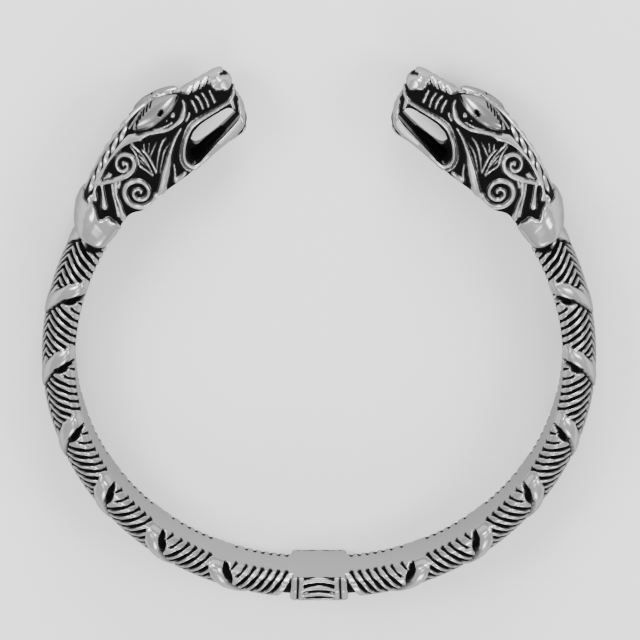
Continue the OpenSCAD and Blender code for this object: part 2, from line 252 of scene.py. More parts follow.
# Outlines on the side: the smooth collar, the open mouth, and the black web between the jaws at the front
COLLAR = [
    (-4.0, 7.8), (2.3, 7.9), (2.3, 7.6), (2.8, 7.1), (3.3, 6.6), (3.35, 6.1), (3.2, 5.5), (2.8, 4.8),
    (2.7, 4.4), (3.1, 4.1), (3.6, 4.0), (3.95, 3.7), (3.9, 3.2), (4.1, 2.5), (4.0, 1.8), (3.9, 0.8),
    (3.7, -0.6), (-4.0, -0.6)]
MOUTH = [
    (19.2, 4.7), (19.8, 5.0), (21.1, 5.0), (23.25, 4.6), (25.2, 4.1), (25.45, 3.1), (25.65, 2.3),
    (24.9, 2.1), (22.9, 1.8), (20.95, 1.6), (18.8, 1.45), (17.6, 1.4), (16.95, 1.7), (16.85, 2.6),
    (17.4, 3.7), (18.1, 4.35)]
FRONT_WEB = [(26.75, 3.5), (26.9, 4.7), (27.75, 5.6), (29.0, 5.8), (29.0, 3.4)]

# Raised lines on the side: points of place u, v and half width
STROKES = {
    "jaw line": [
        (19.1, 6.65, 0.12), (17.9, 6.3, 0.18), (16.7, 5.7, 0.25), (15.6, 5.0, 0.35), (14.7, 4.3, 0.5),
        (13.5, 3.4, 0.6), (12.3, 2.6, 0.55), (11.2, 1.9, 0.55), (10.62, 2.11, 0.38)],
    "small spiral": [
        (4.5, 7.6, 0.12), (6.5, 7.25, 0.28), (8.5, 6.75, 0.34), (10.3, 6.6, 0.36), (11.3, 7.1, 0.36),
        (11.65, 8.0, 0.33), (11.0, 8.7, 0.28), (10.1, 8.85, 0.26), (9.3, 8.45, 0.25), (9.05, 7.8, 0.25),
        (9.4, 7.25, 0.22), (10.1, 7.2, 0.2), (10.5, 7.65, 0.2), (10.2, 8.05, 0.22), (10.0, 7.85, 0.22)],
    "band round the eye": [
        (3.6, 6.6, 0.2), (4.6, 7.45, 0.35), (5.9, 8.2, 0.45), (7.7, 9.0, 0.45), (9.7, 9.6, 0.45),
        (11.6, 9.85, 0.5), (13.1, 9.75, 0.55), (14.1, 9.3, 0.4), (15.3, 9.1, 0.25), (16.7, 8.4, 0.2),
        (17.7, 7.8, 0.2), (18.8, 7.5, 0.25), (19.8, 7.4, 0.35), (20.5, 7.7, 0.38), (21.1, 8.2, 0.25),
        (21.3, 8.8, 0.12)],
    "line before the eye": [(16.3, 9.0, 0.08), (17.1, 8.55, 0.12), (18.0, 8.2, 0.12), (18.9, 8.0, 0.08)],
    "short stroke": [(21.1, 7.2, 0.1), (20.8, 7.0, 0.17), (20.2, 6.8, 0.12)],
    "lock 1": [(4.8, 7.9, 0.15), (4.3, 7.2, 0.25), (3.9, 6.5, 0.35)],
    "lock 2": [(5.8, 7.5, 0.3), (5.1, 6.3, 0.3), (4.3, 5.2, 0.5)],
    "lock 3": [(7.3, 7.1, 0.12), (6.5, 6.0, 0.14), (5.8, 4.7, 0.16), (4.9, 3.1, 0.3)],
    "lock 4": [(7.7, 6.8, 0.26), (6.7, 5.6, 0.26), (6.0, 4.0, 0.28), (5.1, 2.4, 0.5)],
    "lock 5": [(8.4, 6.6, 0.15), (7.6, 6.1, 0.25)],
    "triangle": [(6.4, 7.75, 0.12), (7.5, 7.75, 0.33)],
    "cheek rib 1": [(14.1, 8.4, 0.08), (13.7, 7.8, 0.12)],
    "cheek rib 2": [(14.8, 8.1, 0.06), (13.9, 7.2, 0.1)],
    "cheek rib 3": [(15.7, 7.6, 0.06), (14.6, 7.1, 0.1), (13.8, 6.7, 0.08)],
    "cheek trunk": [(13.4, 8.0, 0.1), (13.5, 6.9, 0.18), (13.1, 5.3, 0.15), (12.8, 4.5, 0.1)],
    "cheek line 1": [(17.0, 7.2, 0.08), (15.9, 6.9, 0.14), (14.4, 5.9, 0.12), (12.9, 4.5, 0.07)],
    "cheek line 2": [(17.0, 6.4, 0.06), (15.5, 5.9, 0.1), (14.1, 4.9, 0.1), (13.1, 4.1, 0.06)],
    "cheek edge": [
        (12.7, 9.2, 0.14), (12.9, 8.2, 0.13), (13.0, 7.0, 0.1), (12.6, 5.6, 0.1), (12.4, 4.6, 0.08)],
    "feather 1": [
        (12.4, 9.1, 0.1), (12.4, 8.2, 0.12), (12.1, 7.3, 0.14), (11.8, 6.6, 0.14), (12.1, 5.4, 0.14),
        (12.2, 4.5, 0.1)],
    "feather 2": [(12.6, 7.7, 0.08), (12.7, 6.7, 0.14), (12.6, 5.8, 0.06)],
    "feather 3": [(12.3, 7.0, 0.1), (12.4, 6.0, 0.06)],
    "throat": [
        (15.3, 3.8, 0.08), (14.7, 2.9, 0.15), (14.1, 2.2, 0.2), (13.9, 1.9, 0.26), (14.5, 1.8, 0.34),
        (15.5, 1.75, 0.22)],
    "spiral root": [
        (12.9, 3.2, 0.4), (12.0, 2.2, 0.5), (11.0, 1.6, 0.42), (9.8, 1.45, 0.35), (8.8, 1.55, 0.2)],
    "snout rib 1": [(22.2, 8.2, 0.1), (22.2, 7.6, 0.17), (22.0, 7.0, 0.17), (21.8, 6.6, 0.12)],
    "snout rib 2": [(23.0, 8.2, 0.12), (23.1, 7.6, 0.16), (22.9, 6.9, 0.16), (22.7, 6.4, 0.12)],
    "snout rib 3": [(23.9, 8.0, 0.1), (23.9, 7.4, 0.15), (23.7, 6.7, 0.18), (23.4, 6.1, 0.15)],
    "snout rib 4": [(24.9, 7.6, 0.1), (24.7, 6.9, 0.16), (24.4, 6.0, 0.2)],
    "lip": [
        (28.0, 6.3, 0.15), (27.7, 5.5, 0.28), (26.9, 5.0, 0.33), (25.8, 4.8, 0.33), (24.5, 5.0, 0.33),
        (23.1, 5.25, 0.35), (21.8, 5.55, 0.4), (20.6, 5.8, 0.45), (19.5, 5.7, 0.45), (18.3, 5.0, 0.45),
        (17.3, 4.2, 0.48), (16.5, 3.2, 0.48), (16.3, 2.2, 0.5), (16.6, 1.4, 0.5), (17.4, 1.0, 0.55),
        (18.8, 1.0, 0.62), (20.8, 1.05, 0.68), (22.8, 1.15, 0.72), (24.6, 1.4, 0.72), (25.6, 1.95, 0.5),
        (26.2, 2.6, 0.4), (26.5, 3.4, 0.28)],
    "upper fang": [(26.1, 4.7, 0.3), (25.8, 4.0, 0.25), (25.65, 3.4, 0.1)],
    "nose": [(25.9, 7.7, 0.5), (26.5, 7.2, 0.95), (27.1, 6.7, 0.8), (26.9, 6.3, 0.5)],
    "snout plate": [
        (22.3, 9.2, 0.25), (23.5, 8.95, 0.4), (24.8, 8.8, 0.5), (26.0, 8.6, 0.6), (27.2, 8.2, 0.6)],
    "large pearl": [(19.4, 8.6, 0.3), (19.41, 8.6, 0.3)],
    "small pearl": [(18.4, 8.75, 0.15), (18.41, 8.75, 0.15)],
}
# Big spiral: its centre, then the degrees turned back, radius and half width
BIG_SPIRAL_CENTRE = (9.2, 3.8)
BIG_SPIRAL = [
    (50, 2.2, 0.38), (90, 2.15, 0.42), (180, 2.0, 0.42), (270, 1.85, 0.38), (330, 1.6, 0.34),
    (360, 1.4, 0.34), (450, 1.12, 0.32), (540, 0.88, 0.3), (630, 0.62, 0.26), (720, 0.35, 0.24),
    (760, 0.2, 0.24)]
BIG_SPIRAL_STEP = 10
# Black cuts into raised metal on the side
CUTS = {
    "pearl's middle": [(19.4, 8.6, 0.1), (19.41, 8.6, 0.1)],
    "triangle's dot": [(7.8, 8.0, 0.15), (7.81, 8.0, 0.15)],
    "plate cut 1": [(24.7, 8.3, 0.08), (25.5, 8.6, 0.14), (26.3, 9.0, 0.12)],
    "plate cut 2": [(23.4, 8.5, 0.08), (24.1, 8.8, 0.14), (24.9, 9.3, 0.12)],
    "plate cut 3": [(22.4, 8.7, 0.1), (23.1, 9.1, 0.13), (23.6, 9.5, 0.12)],
    "nostril slash": [(27.2, 8.0, 0.09), (28.3, 7.4, 0.12)],
    "nostril": [(25.6, 6.9, 0.12), (25.9, 6.5, 0.2), (26.2, 6.3, 0.16)],
    "lip line": [
        (26.9, 5.18, 0.05), (25.8, 4.98, 0.06), (24.5, 5.18, 0.06), (23.1, 5.42, 0.06), (21.8, 5.74, 0.07),
        (20.6, 5.99, 0.07), (19.5, 5.9, 0.07), (18.15, 5.2, 0.07), (17.1, 4.35, 0.07), (16.28, 3.25, 0.07),
        (16.08, 2.2, 0.06), (16.4, 1.15, 0.06)],
}
# Lower fang, drawn last, over the black web
LOWER_FANG = [(26.9, 4.5, 0.12), (26.6, 3.3, 0.2)]

# Top of the head, seen from above: u, and w from the middle. The collar's outline, a curved band beside the
# mane, and straight lines.
TOP_COLLAR = [(-4.0, -1.0), (2.6, -1.0), (2.3, 1.5), (2.6, 3.0), (2.4, 7.0), (-4.0, 7.0)]
TOP_BAND = [
    (3.0, 3.4, 0.3), (4.6, 3.2, 0.45), (7.7, 3.1, 0.5), (11.6, 3.2, 0.6), (13.1, 3.4, 0.6), (14.1, 4.1, 0.4)]
TOP_LINES = {
    "mane's parting": [(2.8, 0.0, 0.2), (7.0, 0.0, 0.25), (13.4, 0.0, 0.25)],
    "ridge between the eyes": [(13.0, 0.0, 0.3), (17.0, 0.0, 0.38), (21.8, 0.0, 0.3)],
    "snout": [(22.9, 0.0, 1.5), (27.0, 0.0, 1.6)],
}
# Lobes of the mane, repeated along it, and cuts across the snout
MANE_START = 3.4
MANE_PITCH = 1.95
MANE_ROWS = 5
MANE_LOBES = [
    [(0.0, 2.15, 0.08), (0.8, 1.85, 0.32), (1.6, 1.4, 0.24), (2.1, 1.05, 0.05)],
    [(0.9, 1.15, 0.06), (1.6, 0.85, 0.18), (2.3, 0.5, 0.05)]]
SNOUT_CUTS = (22.2, 23.3, 24.5)
SNOUT_CUT = [(0.0, 1.9, 0.12), (1.1, 0.8, 0.1)]

# Pointed brow above the eye: its two ends in u, v, w, the way that it faces, and its size
BROW_FROM = (14.0, 10.4, 3.2)
BROW_TO = (21.2, 9.6, 1.2)
BROW_FACES = (0.0, 0.75, 0.66)
BROW_UPPER_HALF_WIDTH = 1.75
BROW_LOWER_HALF_WIDTH = 0.95 * BROW_UPPER_HALF_WIDTH
BROW_THICKNESS = 1.0
BROW_BLUNTNESS = 2.1
BROW_LEAST = 0.02
# Black gap kept round the brow, and thin ridge on the head above it, in u, v, w and half width
BROW_GAP = 0.3
BROW_RIDGE = [(13.6, 10.6, 2.3, 0.2), (16.0, 11.05, 1.2, 0.22), (18.6, 10.9, 0.7, 0.2)]
# Cuts in the brow: from and to, as shares of its half length and millimetres across, and half width. The
# first is the eye's slot, and the others are the hatching.
BROW_HALF_LENGTH = 3.78
BROW_SLOT = (0.05, -1.1, 0.19, -0.94, 0.17)
BROW_HATCH = [
    (-0.86, -0.25, -0.7, 0.45, 0.08), (-0.72, 0.0, -0.54, 0.8, 0.09), (-0.57, 0.15, -0.38, 1.05, 0.09),
    (-0.41, 0.25, -0.21, 1.25, 0.09), (-0.24, 0.4, -0.03, 1.4, 0.09), (-0.06, 0.55, 0.14, 1.45, 0.08)]
BROW_CUT_DEPTH = 0.35
# Tongue, in u, v, w and half width; it is flattened, so that it is wider than it is high
TONGUE = [(16.5, 1.6, 0.0, 0.5), (19.5, 1.8, 0.0, 0.45), (22.0, 1.9, 0.0, 0.3)]
TONGUE_FLATNESS = 0.45

# How far blackness reaches past the edge of each dark form of the head
INK_PAST_SLOT = 0.07
INK_PAST_HATCH = 0.02
INK_PAST_MOUTH = 0.12
INK_PAST_TONGUE = 0.05
# How far bright metal reaches past the brow, in from the side round the mouth, and in from the collar's rim,
# and the soft edge of the head's black, and the distance that it is worked out within
BRIGHT_PAST_BROW = 0.05
BRIGHT_LIP = 1.5
BRIGHT_RIM = 0.12
HEAD_INK_EDGE = (-0.11, 0.03)
HEAD_INK_LIMIT = 0.5

# Work on grids: the step of a drawing, how far round a drawn line it holds the distance, the distance that it
# holds elsewhere, and the last place in a grid's last cell, counted back from its number of points
DRAWING_STEP = 0.06
LINE_REACH = 0.8
FAR = 5.0
LAST_PLACE = 1.001
# Least slope and largest distance of the head's solid, the soft edge of a thin mark, and next to nothing
LEAST_SLOPE = 0.12
DEPTH_LIMIT = 3.0
THIN_EDGE = (-0.05, 0.05)
TINY = 1e-6

# Finishes: the noises' scales are per metre, and the grain's height is in metres
CLOUD_SCALE = 260.0
CLOUD_DETAIL = 3.0
CLOUDED_POLISH = 0.12
CLOUDED_COLOUR = 0.94
GRAIN_SCALE = 5200.0
GRAIN_DETAIL = 2.0
GRAIN_STRENGTH = 0.05
GRAIN_HEIGHT = 0.0001
EDGE_TINT = 0.5
# Finish of the black in the recesses and of the painted shadow before the collars
OXIDE_AND_SHADOW_ROUGHNESS = 0.8
OXIDE_AND_SHADOW_SPECULAR = 0.04
FLOOR_ROUGHNESS = 0.8
FLOOR_SPECULAR = 0.2

# Stage, in metres: the floor's half width, how far the camera sees, the point that it looks at, and the soft
# lights with their place, width and share of the power
FLOOR_HALF = 3.0
VIEW_END = 20.0
AIM = Vector((0.13, 2.11, 5.72)) * MM
LAMPS = [
    ("left", (-0.42, 0.25, 0.5), 0.26, 0.9),
    ("right", (0.5, 0.05, 0.45), 0.26, 0.8),
    ("back", (0.05, 0.65, 0.3), 0.26, 1.4),
    ("front", (0.1, -0.65, 0.35), 0.26, 0.6),
    ("top", (-0.05, -0.2, 0.7), 0.2, 0.2),
]


def in_mm(length):
    """A length in metres, in millimetres."""
    return length / MM


def smooth(x, start, end):
    """0 up to the start, 1 from the end on, and smooth between; the end may be the lower."""
    t = np.clip((x - start) / (end - start), 0.0, 1.0)
    return t * t * (3.0 - 2.0 * t)


def column(table, x, k):
    """Column k of a table at x of its first column."""
    rows = np.array(table, float)
    return np.interp(x, rows[:, 0], rows[:, k])


def moved(points, u):
    """The same points of a drawing, moved along."""
    return [(point[0] + u, *point[1:]) for point in points]


def curve(points, parts=5):
    """A smooth line through the points, whose rows may hold more than a place."""
    p = np.array(points, float)
    p = np.vstack([2 * p[0] - p[1], p, 2 * p[-1] - p[-2]])
    rows = []
    for i in range(1, len(p) - 2):
        a, b, c, d = p[i - 1:i + 3]
        for k in range(parts):
            t = k / parts
            rows.append(0.5 * (2 * b + (c - a) * t + (2 * a - 5 * b + 4 * c - d) * t ** 2
                               + (3 * b - a - 3 * c + d) * t ** 3))
    rows.append(p[-2])
    return np.array(rows)


def closed_curve(points, parts=3):
    """A smooth outline through the points."""
    return curve([*points, points[0]], parts)[:-1]


def line_distance(place, start, end):
    """Distance from each place to a straight line, and the share along it of the nearest point."""
    along = [b - a for a, b in zip(start, end)]
    square = max(sum(e * e for e in along), TINY ** 2)
    share = np.clip(sum((p - a) * e for p, a, e in zip(place, start, along)) / square, 0.0, 1.0)
    return np.sqrt(sum((p - a - share * e) ** 2 for p, a, e in zip(place, start, along))), share


def outline_distance(points, x, y):
    """Signed distance to a closed outline, below 0 inside."""
    corners = np.array(points, float)
    best = np.full(x.shape, np.inf)
    inside = np.zeros(x.shape, bool)
    for a, b in zip(corners, np.roll(corners, -1, axis=0)):
        best = np.minimum(best, line_distance((x, y), a, b)[0])
        if a[1] != b[1]:
            crossing = a[0] + (y - a[1]) * (b[0] - a[0]) / (b[1] - a[1])
            inside ^= ((y < a[1]) != (y < b[1])) & (x < crossing)
    return np.where(inside, -best, best)


def thick_line(points, *place):
    """Signed distance to a thick line through points that hold a place and a half width."""
    best = np.full(place[0].shape, FAR)
    rows = np.array(points, float)
    for a, b in zip(rows[:-1], rows[1:]):
        distance, share = line_distance(place, a[:-1], b[:-1])
        best = np.minimum(best, distance - (a[-1] + share * (b[-1] - a[-1])))
    return best


def shared(first, second, rounding):
    """Signed distance to what two solids share, with the edge between them rounded."""
    inside = np.minimum(np.maximum(first, second) + rounding, 0)
    return np.hypot(np.maximum(first + rounding, 0), np.maximum(second + rounding, 0)) - rounding + inside


def grid_lines(low, high, step):
    """Places of a grid's points along each of its axes."""
    return [a + step * np.arange(math.ceil((b - a) / step) + 1) for a, b in zip(low, high)]


def sample2(grid, i, j):
    """Values of a flat grid at places counted in its steps."""
    i = np.clip(i, 0, grid.shape[0] - LAST_PLACE)
    j = np.clip(j, 0, grid.shape[1] - LAST_PLACE)
    a, b = i.astype(int), j.astype(int)
    s, t = i - a, j - b
    return ((grid[a, b] * (1 - t) + grid[a, b + 1] * t) * (1 - s)
            + (grid[a + 1, b] * (1 - t) + grid[a + 1, b + 1] * t) * s)


def sample3(grid, place):
    """Values of a solid grid at places counted in its steps."""
    p = np.clip(place, 0, np.array(grid.shape) - LAST_PLACE)
    a = p.astype(int)
    f = p - a
    total = 0.0
    for dx in (0, 1):
        for dy in (0, 1):
            for dz in (0, 1):
                share = (np.where(dx, f[:, 0], 1 - f[:, 0]) * np.where(dy, f[:, 1], 1 - f[:, 1])
                         * np.where(dz, f[:, 2], 1 - f[:, 2]))
                total = total + share * grid[a[:, 0] + dx, a[:, 1] + dy, a[:, 2] + dz]
    return total


class Drawing:
    """A flat drawing of raised metal on a grid: signed distance to the metal, below 0 on it."""

    def __init__(self, low, high):
        self.low = low
        self.x, self.y = grid_lines(low, high, DRAWING_STEP)
        self.field = np.full((len(self.x), len(self.y)), FAR)

    def line(self, points, cut=False, curved=True):
        """Draw a line through points of x, y and half width, or cut it out of the metal."""
        rows = curve(points) if curved and len(points) > 2 else np.array(points, float)
        shape = np.full(self.field.shape, FAR)
        for a, b in zip(rows[:-1], rows[1:]):
            margin = max(a[2], b[2]) + LINE_REACH
            i0, i1 = np.searchsorted(self.x, [min(a[0], b[0]) - margin, max(a[0], b[0]) + margin])
            j0, j1 = np.searchsorted(self.y, [min(a[1], b[1]) - margin, max(a[1], b[1]) + margin])
            place = np.meshgrid(self.x[i0:i1], self.y[j0:j1], indexing="ij")
            near = thick_line([a, b], *place)
            shape[i0:i1, j0:j1] = np.minimum(shape[i0:i1, j0:j1], near)
        self.add(shape, cut)

    def area(self, points, cut=False):
        """Draw a closed outline, or cut it out of the metal."""
        place = np.meshgrid(self.x, self.y, indexing="ij")
        self.add(outline_distance(points, *place), cut)

    def add(self, shape, cut):
        """Join a shape to the metal, or cut it out."""
        self.field = np.maximum(self.field, -shape) if cut else np.minimum(self.field, shape)

    def at(self, x, y):
        """The drawing's signed distance at these places."""
        return sample2(self.field, (x - self.low[0]) / DRAWING_STEP, (y - self.low[1]) / DRAWING_STEP)


def solid_surface(field):
    """Points, in grid steps, and quads of the surface where a solid field, below 0 inside, is 0.

    Each cell of the grid that the surface passes through gets one point, the mean of the places where it
    crosses the cell's edges, and each crossed edge gives a quad between its four cells.
    """
    shape = np.array(field.shape) - 1
    total = np.zeros((*shape, 3))
    count = np.zeros(shape, int)
    crossings = []
    for axis in range(3):
        a = np.moveaxis(field, axis, 0)[:-1]
        b = np.moveaxis(field, axis, 0)[1:]
        cross = np.moveaxis((a < 0) != (b < 0), 0, axis)
        ratio = np.moveaxis(a / np.where(a == b, 1.0, a - b), 0, axis)
        place = np.argwhere(cross)
        point = place.astype(float)
        point[:, axis] += ratio[cross]
        low_inside = np.moveaxis(a < 0, 0, axis)[cross]
        first, second = (axis + 1) % 3, (axis + 2) % 3
        cells = []
        for back_first, back_second in ((0, 0), (1, 0), (1, 1), (0, 1)):
            cell = place.copy()
            cell[:, first] -= back_first
            cell[:, second] -= back_second
            np.add.at(total, tuple(cell.T), point)
            np.add.at(count, tuple(cell.T), 1)
            cells.append(cell)
        crossings.append((cells, low_inside))
    index = np.cumsum(count.ravel() > 0).reshape(count.shape) - 1
    used = count > 0
    points = total[used] / count[used][:, None]
    quads = []
    for cells, low_inside in crossings:
        quad = np.stack([index[tuple(cell.T)] for cell in cells], axis=1)
        quad[low_inside] = quad[low_inside][:, ::-1]
        quads.append(quad)
    return points, np.vstack(quads)[:, ::-1]


def tube_quads(rings, n):
    """Quads of a closed tube with so many rings of n points, its two ends among them."""
    ring, point = np.meshgrid(np.arange(rings - 1), np.arange(n), indexing="ij")
    here, onward = ring * n, (ring + 1) * n
    after = (point + 1) % n
    wall = np.stack([here + point, here + after, onward + after, onward + point], axis=2).reshape(-1, 4)
    ends = []
    for base, turned in ((0, True), ((rings - 1) * n, False)):
        for k in range(n // 2):
            face = [base + k, base + (k + 1) % n, base + (n - k - 1) % n, base + (n - k) % n]
            if len(set(face)) == 4:
                ends.append(face[::-1] if turned else face)
    return np.vstack([wall, ends])


def faced_out(points, quads):
    """The same faces, all turned outwards."""
    a, b, c, d = (points[quads[:, k]] for k in range(4))
    volume = np.einsum("ij,ij->i", a, np.cross(b, c)).sum() + np.einsum("ij,ij->i", a, np.cross(c, d)).sum()
    return quads if volume > 0 else np.ascontiguousarray(quads[:, ::-1])


def mesh_object(name, points, quads, black, satin=0.0):
    """An object from points in millimetres, with its finish stored at each point."""
    mesh = bpy.data.meshes.new(name)
    mesh.vertices.add(len(points))
    mesh.vertices.foreach_set("co", (points * MM).astype(np.float32).ravel())
    quads = faced_out(points, np.asarray(quads, np.int32))
    mesh.loops.add(quads.size)
    mesh.loops.foreach_set("vertex_index", quads.ravel())
    mesh.polygons.add(len(quads))
    mesh.polygons.foreach_set("loop_start", np.arange(0, quads.size, 4, dtype=np.int32))
    mesh.polygons.foreach_set("loop_total", np.full(len(quads), 4, np.int32))
    mesh.update(calc_edges=True)
    mesh.validate()
    # The first attribute holds the black of the oxidised recesses, and the painted shadow before each collar
    for key, values in (("patina_and_shadow", black), ("satin", satin)):
        layer = mesh.attributes.new(key, "FLOAT", "POINT")
        layer.data.foreach_set("value", np.broadcast_to(values, len(points)).astype(np.float32))
    mesh.polygons.foreach_set("use_smooth", np.ones(len(mesh.polygons), bool))
    made = bpy.data.objects.new(name, mesh)
    bpy.context.scene.collection.objects.link(made)
    return made


def on_ring(s, out, across):
    """Places in the row frame, from distances along the ring, out from its inner face and across it."""
    side = np.where(s < 0, -1.0, 1.0)
    s = np.abs(s)
    lower = s < LOWER_END
    turned = np.where(lower, np.clip(s - FLAT_HALF, 0, None) / LOWER_RADIUS,
                      math.pi / 2 + (s - LOWER_END) / UPPER_RADIUS)
    radius = np.where(lower, LOWER_RADIUS, UPPER_RADIUS)
    centre = np.where(lower, np.minimum(s, FLAT_HALF), FLAT_HALF + LOWER_RADIUS - UPPER_RADIUS)
    x = side * (centre + (radius + out) * np.sin(turned))
    y = RING_CENTRE - (radius + out) * np.cos(turned)
    return np.stack([x, y, across + MID_HEIGHT], axis=-1)


def band_section(settings):
    """Station, place across, place out and outward direction of the points round the band."""
    mirrored = (-BAND_POINTS[-2][0], BAND_POINTS[-2][1])
    parts = settings.section_points
    fine = curve([*BAND_POINTS, mirrored], parts)[:STATIONS[-1] * parts + 1]
    share = np.linspace(0.0, 1.0, settings.flat_points, endpoint=False)
    share = 1 - (1 - share) ** 2
    z = np.concatenate([share * BAND_POINTS[0][0], fine[:, 0]])
    r = np.concatenate([np.zeros(len(share)), fine[:, 1]])
    q = np.concatenate([share - 1, np.arange(len(fine)) / parts])
    q = np.concatenate([q, q[-2:0:-1]])
    z = np.concatenate([z, -z[-2:0:-1]])
    r = np.concatenate([r, r[-2:0:-1]])
    dz, dr = np.roll(z, -1) - np.roll(z, 1), np.roll(r, -1) - np.roll(r, 1)
    length = np.hypot(dz, dr)
    return q, z, r, dr / length, -dz / length


class BandMarks:
    """Height and blackness over an arm of the band, gathered mark by mark."""

    def __init__(self, shape):
        self.raised = np.zeros(shape)
        self.cut = np.zeros(shape)
        self.black = np.zeros(shape)

    def carve(self, depth, ink):
        """Sink a mark into the band and blacken it."""
        self.cut = np.maximum(self.cut, depth)
        self.black = np.maximum(self.black, ink)

    def wipe(self, share):
        """Take away what was carved where a strap covers it."""
        self.cut = self.cut * (1 - share)
        self.black = self.black * (1 - share)


def groove(away, q, width_share):
    """Depth and blackness of a groove at a distance along the band from its middle line."""
    half = column(GROOVE, q, 1) * width_share
    inside = 1 - np.abs(away) / (half + GROOVE_BANK)
    return column(GROOVE, q, 2) * smooth(inside, 0.0, GROOVE_ROUND), smooth(half - np.abs(away), *THIN_EDGE)


def carve_ribs(marks, s, q):
    """Carve the grooves that part the ribs of every panel."""
    leaned = s - np.interp(q, STATIONS, RIB_LEAN)
    for start, end in zip(STRAPS[:-1], STRAPS[1:]):
        rows = [(start + FIRST_RIB + RIB_PITCH * k, 1.0, *GROOVE_STATIONS) for k in range(RIBS)]
        rows += [(end - before, *rest) for before, *rest in FURTHER_GROOVES]
        for place, width_share, first, last in rows:
            depth, ink = groove(leaned - place, q, width_share)
            keep = smooth(q, first - GROOVE_FADE, first + GROOVE_FADE)
            keep = keep * (1 - smooth(q, last - GROOVE_FADE, last + GROOVE_FADE))
            marks.carve(depth * keep, ink * keep)


def lay_straps(marks, s, q, settings):
    """Lay the smooth straps over the ribs, each with its dark lines and its dark hollow."""
    half = column(STRAP, q, 2)
    rise = smooth(q, *STRAP_RISES) * (1 - STRAP_LOSS * smooth(q, *STRAP_SINKS))
    hollow_keep = smooth(q, *HOLLOW_COMES) * (1 - smooth(q, *HOLLOW_GOES))
    for place in STRAPS[1:]:
        middle = place + column(STRAP, q, 1)
        away = np.abs(s - middle) / half
        marks.wipe(smooth(away, 1 + STRAP_EDGE, 1 - STRAP_EDGE))
        crown = np.clip(1 + STRAP_EDGE - away ** 2, 0.0, 1.0)
        marks.raised = np.maximum(marks.raised, in_mm(settings.strap_height) * crown * rise)
        for side, half_line, comes, goes in STRAP_LINES:
            away = np.abs(s - middle - side * (half + STRAP_LINE_GAP))
            ink = smooth(half_line - away, 0.0, STRAP_LINE_BANK)
            ink = ink * smooth(q, comes, comes + STRAP_LINE_FADE)
            ink = ink * (1 - smooth(q, goes, goes + STRAP_LINE_FADE))
            marks.carve(STRAP_LINE_DEPTH * ink, ink)
        inside = column(HOLLOW, q, 2) - np.abs(s - place - column(HOLLOW, q, 1))
        depth = in_mm(settings.hollow_depth) * smooth(inside, *HOLLOW_BANK)
        marks.carve(depth * hollow_keep, smooth(inside, *HOLLOW_INK) * hollow_keep)


def carve_ends(marks, s, q):
    """Carve the dark wedge beside the block, and the shallow strip before the collar, painted black as the
    shadow under its rim.
    """
    wedge_end = BLOCK_HALF_LENGTH + WEDGE_GAP + WEDGE_GROWTH * (q - WEDGE_STATION)
    wedge = smooth(wedge_end - s, 0.0, END_BANK)
    wedge = wedge * smooth(q, WEDGE_STATION - WEDGE_FADE, WEDGE_STATION + WEDGE_FADE)
    marks.carve(WEDGE_DEPTH * wedge, wedge)
    out = np.interp(q, STATIONS, [point[1] for point in BAND_POINTS])
    rim = ARM_LENGTH - math.tan(HEAD_TURN) * out
    # Painted shadow: the strip along the collar's rim is cut shallowly and blackened as if shaded by the
    # collar
    shadow_strip = smooth(s - rim + SHADOW_STRIP_WIDTH - SHADOW_STRIP_NARROWING * q, 0.0, END_BANK)
    shadow_strip = shadow_strip * smooth(q, *SHADOW_STRIP_COMES) * (1 - smooth(q, *SHADOW_STRIP_GOES))
    marks.carve(SHADOW_STRIP_DEPTH * shadow_strip, shadow_strip)


def band_skin(s, q, settings):
    """Height and blackness of the band's skin at a distance from the block's middle and a station."""
    marks = BandMarks(s.shape)
    carve_ribs(marks, s, q)
    lay_straps(marks, s, q, settings)
    carve_ends(marks, s, q)
    outside = smooth(s, *LEAVES_BLOCK)
    keep = smooth(q, *LEAVES_INNER_FACE) * outside
    return (marks.raised - marks.cut) * keep - SINK_DEPTH * (1 - outside), marks.black * keep


def build_arm(name, side, settings):
    """One ribbed arm as a closed tube, from inside the block to inside the collar; side is -1 or 1."""
    q, z, r, out_z, out_r = band_section(settings)
    rings = int((ARM_LENGTH - ARM_START) / in_mm(settings.step)) + 1
    along = np.linspace(ARM_START, ARM_LENGTH, rings)
    lean = smooth(along, *LEAN_COMES) * (1 - smooth(along, *LEAN_GOES))
    s = along[:, None] + lean[:, None] * np.interp(q, STATIONS, RING_LEAN)
    station = np.broadcast_to(q, s.shape)
    height, black = band_skin(s, station, settings)
    points = on_ring(s, r + out_r * height, z + out_z * height).reshape(-1, 3)
    points[:, 0] *= side
    satin = 1 - smooth(station, *SATIN_ENDS)
    return mesh_object(name, points, tube_quads(rings, len(q)), black.ravel(), satin.ravel())


